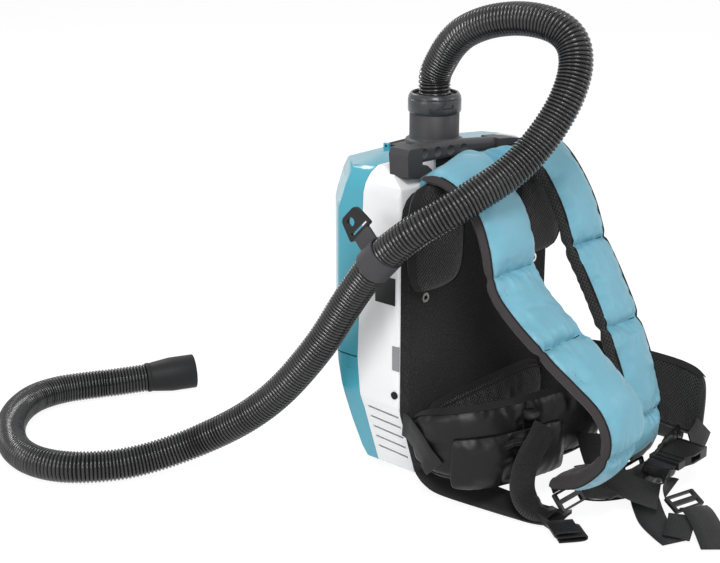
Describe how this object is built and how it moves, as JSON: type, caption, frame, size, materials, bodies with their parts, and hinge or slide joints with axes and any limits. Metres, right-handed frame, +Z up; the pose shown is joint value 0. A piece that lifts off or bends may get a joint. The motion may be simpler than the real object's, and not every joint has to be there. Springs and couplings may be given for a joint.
{
  "type": "backpack vacuum cleaner",
  "caption": "Battery vacuum cleaner worn on the back: moulded case with carrying handle and pipe, ribbed suction hose, shoulder straps, hip belt and back plate.",
  "frame": {"origin": "on the floor under the case, at the middle of the foot that the case stands on", "axes": "+Z up, -Y towards the wearer's back, +Y out of the case's rear covers, +X to the wearer's right"},
  "size_m": [0.5132, 0.7791, 0.4906],
  "materials": {
    "teal": "gloss",
    "white": "gloss",
    "grey": "matte",
    "hose": "gloss",
    "black_plastic": "satin",
    "mesh_fabric": "matte",
    "strap_fabric": "satin",
    "webbing": "matte",
    "steel": "satin",
    "silver": "satin",
    "rubber": "matte",
    "foam": "matte",
    "paper": "matte",
    "copper": "satin",
    "board": "satin",
    "wire": "satin"
  },
  "bodies": {
    "root": {"main_casing": "white", "lower_cover": "teal", "hinge_pins": "steel", "inlet_deck": "grey", "inlet_pipe": "grey", "seals": "rubber", "hose_sleeve": "grey", "hose": "hose", "hose_cuff": "grey", "hose_band": "grey", "band_tab": "black_plastic", "handle_grip": "grey", "handle_brackets": "grey", "case_screws": "steel", "rear_foot": "rubber", "rating_plate": "black_plastic", "side_tabs": "silver", "inner_frame": "black_plastic", "motor_housing": "black_plastic", "motor_end_plate": "silver", "motor_stator": "copper", "motor_bearings": "steel", "motor_mounts": "rubber", "filter_frame": "black_plastic", "filter_pleats": "paper", "dust_bag": "paper", "bag_collar": "paper", "battery_cradle": "black_plastic", "battery_left": "black_plastic", "battery_right": "black_plastic", "control_board": "board", "exhaust_foams": "foam", "wiring_loom": "wire", "back_plate": "mesh_fabric", "eyelets": "steel", "upper_pad_left": "mesh_fabric", "upper_pad_right": "mesh_fabric", "lumbar_pad": "mesh_fabric", "yoke": "strap_fabric", "shoulder_strap_left": "strap_fabric", "shoulder_strap_right": "strap_fabric", "belt_wing_left": "mesh_fabric", "belt_wing_right": "mesh_fabric", "belt_pouches": "mesh_fabric", "strap_webbing_left": "webbing", "strap_webbing_right": "webbing", "adjusters": "black_plastic", "belt_webbing": "webbing", "buckle_socket": "black_plastic", "buckle_plug": "black_plastic"},
    "cover": {"dust_cover": "teal"},
    "cover_latch": {"dust_cover_latch": "black_plastic"},
    "door": {"battery_door": "teal"},
    "door_latch": {"battery_door_latch": "black_plastic"},
    "fan": {"motor_rotor": "steel", "fan_impeller": "silver"},
    "lock_ring": {"hose_lock_ring": "grey"},
    "button_left": {"battery_button_left": "wire"},
    "button_right": {"battery_button_right": "wire"}
  },
  "joints": [
    {"name": "dust_cover_hinge", "type": "hinge", "parent": "root", "child": "cover", "pos_m": [0, 0.06738, 0.1385], "axis": [-1, 0, 0], "range_deg": [0, 90]},
    {"name": "dust_cover_latch_pivot", "type": "hinge", "parent": "cover", "child": "cover_latch", "pos_m": [0, 0.0415, 0.32961], "axis": [-1, 0, 0], "range_deg": [0, 30], "stiffness_Nm_per_rad": 0.05, "springref_deg": -2.86},
    {"name": "battery_door_hinge", "type": "hinge", "parent": "root", "child": "door", "pos_m": [0, 0.05033, 0.0265], "axis": [-1, 0, 0], "range_deg": [0, 90]},
    {"name": "battery_door_latch_slide", "type": "slide", "parent": "door", "child": "door_latch", "axis": [0, 0, -1], "range_m": [0, 0.004], "stiffness_N_per_m": 300, "springref_m": -0.001},
    {"name": "fan_spin", "type": "hinge", "parent": "root", "child": "fan", "pos_m": [0, -0.008, 0.16], "axis": [0, 0, 1], "continuous": true},
    {"name": "hose_lock_turn", "type": "hinge", "parent": "root", "child": "lock_ring", "pos_m": [0, -0.007, 0.38], "axis": [0, 0, 1], "range_deg": [0, 30]},
    {"name": "battery_button_left_slide", "type": "slide", "parent": "root", "child": "button_left", "axis": [0, 0, -1], "range_m": [0, 0.004], "stiffness_N_per_m": 300, "springref_m": -0.001},
    {"name": "battery_button_right_slide", "type": "slide", "parent": "root", "child": "button_right", "axis": [0, 0, -1], "range_m": [0, 0.004], "stiffness_N_per_m": 300, "springref_m": -0.001}
  ]
}
